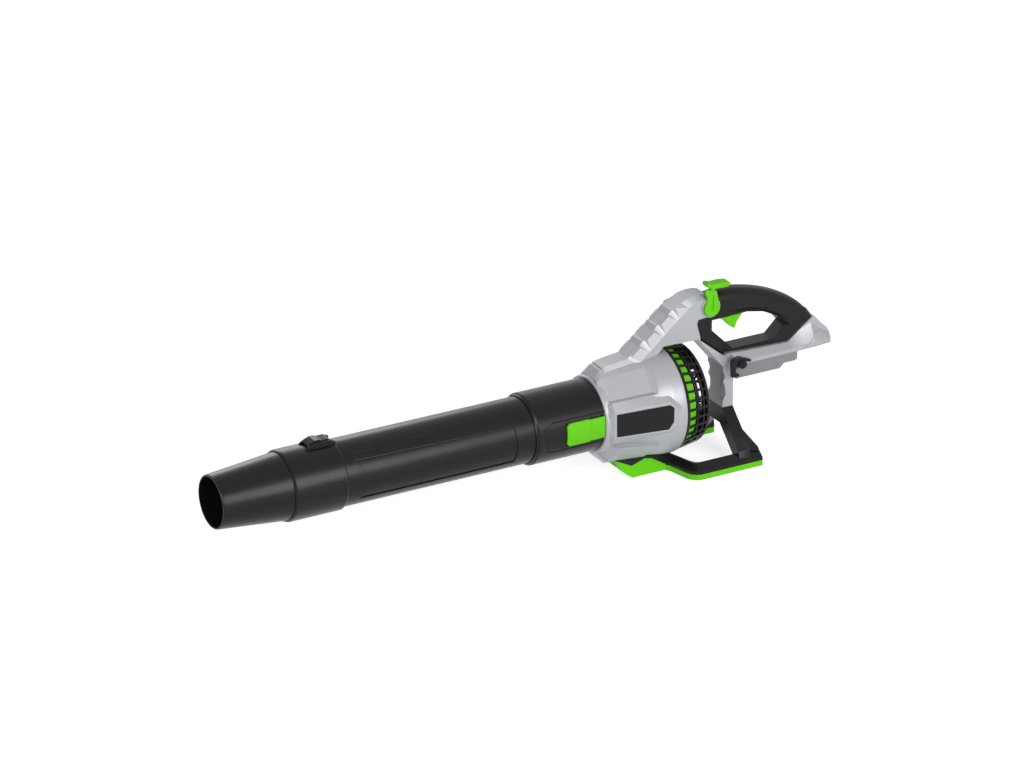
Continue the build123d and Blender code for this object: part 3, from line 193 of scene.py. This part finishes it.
# deep inner edges of the inlet guard's ribs
RIBS = 36
FIRST_RIB = 5                                              # degrees from upright
RIB_HALF = 1.3                                             # half a rib's thickness
RIB_ENDS = ((703.2, 60.5, 71.0), (721.0, 58.0, 68.2))      # station, inner and outer radius
fins = bmesh.new()
for i in range(RIBS):
    a = math.radians(FIRST_RIB + 360 // RIBS * i)
    across = Vector((0.0, math.cos(a), math.sin(a)))
    up = Vector((0.0, -math.sin(a), math.cos(a)))
    centre = point(0, 0, 0)
    corners = []
    for s, low, high in RIB_ENDS:
        along = Vector((s / 1000.0, 0, 0))
        for half in (-RIB_HALF, RIB_HALF):
            for r in (low, high):
                corners.append(centre + along + across * half / 1000.0 + up * r / 1000.0)
    hull(fins, corners)
piece("guard_fins", "blower", "black_plastic", fins, 0.0)

# fillet between each leg and the heel of the foot, sunk a little into both
FILLET_CORNERS = (
    (790.0, 37.0, -50.0), (790.0, 41.5, -50.0), (790.0, 52.0, -84.0), (790.0, 62.5, -76.0),
    (798.0, 52.0, -64.0), (798.0, 56.0, -64.0), (790.0, 60.0, -84.0), (809.0, 58.5, -83.0),
    (809.0, 59.5, -78.6), (809.0, 61.5, -78.8), (809.0, 64.0, -83.0))
gusset = bmesh.new()
for side in (-1, 1):
    hull(gusset, [point(s, side * y, z) for s, y, z in FILLET_CORNERS])
piece("heel_fillets", "blower", "black_plastic", gusset, 0.0008)

# the ridge's edges stand out between its three scooped notches
RUN = Vector((0.77, 0.0, 0.639))       # along the ridge
RISE = Vector((-0.639, 0.0, 0.77))     # away from it
RIDGE_PLACE = (645.2, 88.4)            # station and height that the blocks are measured from
# each block's reach along the ridge at its crest, brow and base, and how far it fades at its rear end
BLOCKS = (((-16.6, 2.5), (-17.2, -1.3), (-12.8, 5.3), 0.0),
          ((10.4, 31.2), (14.9, 27.3), (8.0, 34.0), 0.0),
          ((39.1, 59.9), (43.6, 56.0), (36.7, 62.7), 0.0),
          ((67.7, 84.0), (72.2, 80.0), (65.3, 85.0), 3.9))
edges = bmesh.new()
for side in (-1, 1):
    for crest, brow, base, fade in BLOCKS:
        # distance across, distance from the ridge, and the share of the fade that draws the corner inward
        section = ((crest, 12.6, 0.0, 0.0), (crest, 12.0, -3.0, 0.0), (brow, 16.4, -0.7, 0.7),
                   (base, 20.05, -14.7, 0.0), (base, 18.5, -15.5, 0.0))
        corners = []
        for reach, y, lift, share in section:
            for along, less in zip(reach, (0.0, fade)):
                sunk = 0.0 if reach == base else less
                corners.append(point(RIDGE_PLACE[0], side * (y - share * less), RIDGE_PLACE[1])
                               + (RUN * along + RISE * (lift - sunk)) / 1000.0)
        hull(edges, corners)
piece("ridge_edges", "blower", "silver_plastic", edges, 0.0003)

# silver rim round the cruise lever's disc
LEVER_CENTRE = (754.0, 126.0)
LEVER_RIM = (12.7, 14.4)               # inner and outer radius
RIM_FACES = (-22.2, -19.0)             # across, outer face first
rim = bmesh.new()
ring(rim, LEVER_CENTRE[0], *RIM_FACES, LEVER_CENTRE[1], *LEVER_RIM)
piece("lever_rim", "blower", "silver_plastic", rim, 0.0004)


# ---------------------------------------------------------------- camera, lamps and floor
CAMERA_PLACE = (-3.6678, -6.3951, 3.4349)
CAMERA_TARGET = (-0.0201, 0.0, 0.1724)
LAMP_TARGET = (0.0, 0.0, 0.1)

camera_data = bpy.data.cameras.new("camera")
camera_data.lens = 210.94
camera_data.sensor_width = 36.0
camera_data.clip_end = 40.0
camera = bpy.data.objects.new("camera", camera_data)
scene.collection.objects.link(camera)
camera.location = CAMERA_PLACE
aim = Vector(CAMERA_TARGET) - camera.location
camera.rotation_euler = aim.to_track_quat("-Z", "Y").to_euler()
scene.camera = camera


def lamp(name, place, size, power):
    """A round white lamp that points at the middle of the blower."""
    data = bpy.data.lights.new(name, "AREA")
    data.shape = "DISK"
    data.size = size
    data.energy = power
    lamp_object = bpy.data.objects.new(name, data)
    scene.collection.objects.link(lamp_object)
    lamp_object.location = place
    away = Vector(LAMP_TARGET) - Vector(place)
    lamp_object.rotation_euler = away.to_track_quat("-Z", "Y").to_euler()


lamp("key", (0.45, -2.25, 1.0), 1.4, 38.0)
lamp("fill", (-2.2, -1.3, 1.3), 0.9, 22.0)
lamp("back", (0.5, 2.4, 1.1), 1.4, 15.0)


def shown(tree, dim, bright):
    """A level: bright where the camera, a reflection or a clear part shows the surface, and dim as light."""
    path = tree.nodes.new("ShaderNodeLightPath")
    level = path.outputs["Is Camera Ray"]
    for ray in ("Is Glossy Ray", "Is Transmission Ray"):
        either = tree.nodes.new("ShaderNodeMath")
        either.operation = "MAXIMUM"
        tree.links.new(level, either.inputs[0])
        tree.links.new(path.outputs[ray], either.inputs[1])
        level = either.outputs["Value"]
    span = tree.nodes.new("ShaderNodeMapRange")
    span.inputs["To Min"].default_value = dim
    span.inputs["To Max"].default_value = bright
    tree.links.new(level, span.inputs["Value"])
    return span.outputs["Result"]


world = bpy.data.worlds.new("studio")
scene.world = world
world.use_nodes = True
sky = world.node_tree
sky.nodes["Background"].inputs["Color"].default_value = (1, 1, 1, 1)
sky.links.new(shown(sky, 0.20, 1.0), sky.nodes["Background"].inputs["Strength"])

low = cad_box[0][2]
bpy.ops.mesh.primitive_plane_add(size=60.0, location=(0.0, 0.0, low - 0.0005))
floor = bpy.context.active_object
floor.name = "floor"
floor_material = bpy.data.materials.new("floor_white")
floor_material.use_nodes = True
floor_tree = floor_material.node_tree
floor_shader = floor_tree.nodes["Principled BSDF"]
floor_shader.inputs["Base Color"].default_value = (0.75, 0.75, 0.75, 1.0)
floor_shader.inputs["Roughness"].default_value = 0.9
floor_shader.inputs["Emission Color"].default_value = (1.0, 1.0, 1.0, 1.0)
floor_tree.links.new(shown(floor_tree, 0.0, 0.68), floor_shader.inputs["Emission Strength"])
floor.data.materials.append(floor_material)
